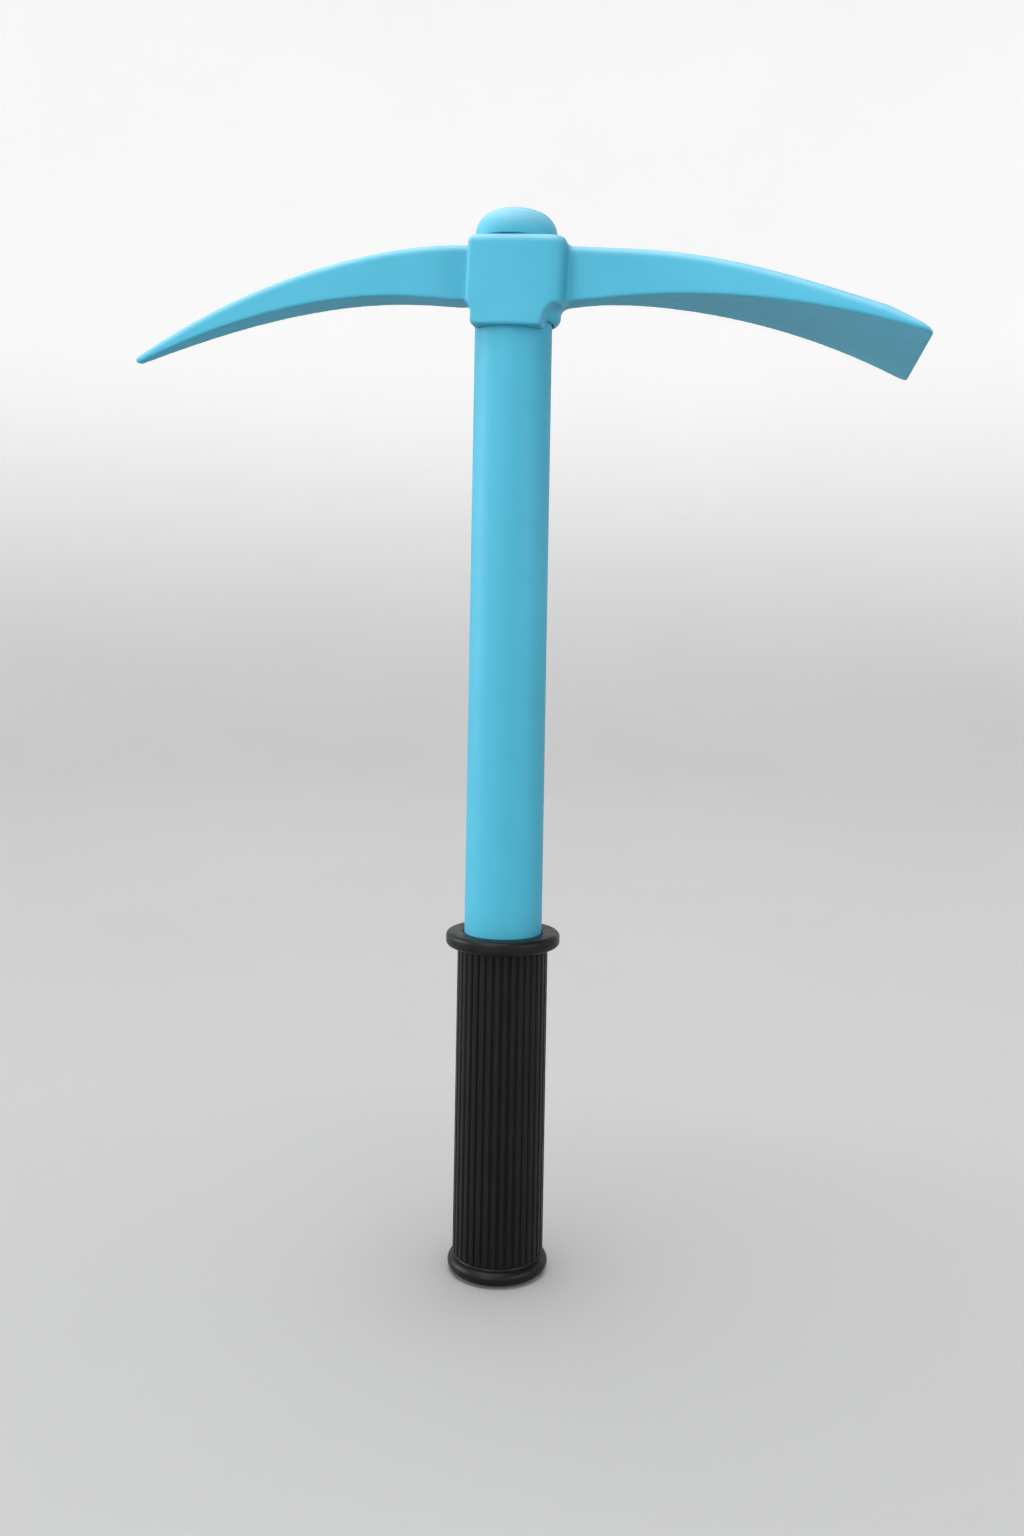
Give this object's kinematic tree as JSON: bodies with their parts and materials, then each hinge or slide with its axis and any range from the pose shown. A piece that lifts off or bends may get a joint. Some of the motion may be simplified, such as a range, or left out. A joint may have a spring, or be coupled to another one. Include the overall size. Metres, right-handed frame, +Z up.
{
  "type": "hand pick mattock",
  "caption": "Short-handled digging tool with a pick on one side and a flared adze blade on the other, on a tube handle with a ribbed grip.",
  "frame": {"origin": "middle of the flat bottom face of the grip, on the handle tube's axis", "axes": "+Z up the handle towards the head, +X towards the adze blade, -X towards the pick, -Y the front face seen in the picture"},
  "size_m": [0.2946, 0.0844, 0.3907],
  "materials": {
    "head_paint": "satin light blue powder coat",
    "handle_paint": "satin light blue powder coat",
    "plug_plastic": "matte black moulding",
    "grip_rubber": "matte black moulded rubber"
  },
  "bodies": {
    "root": {"pick_head": "head_paint", "top_cap": "head_paint", "handle_tube": "handle_paint", "tube_end_plug": "plug_plastic", "grip_sleeve": "grip_rubber"}
  },
  "joints": []
}
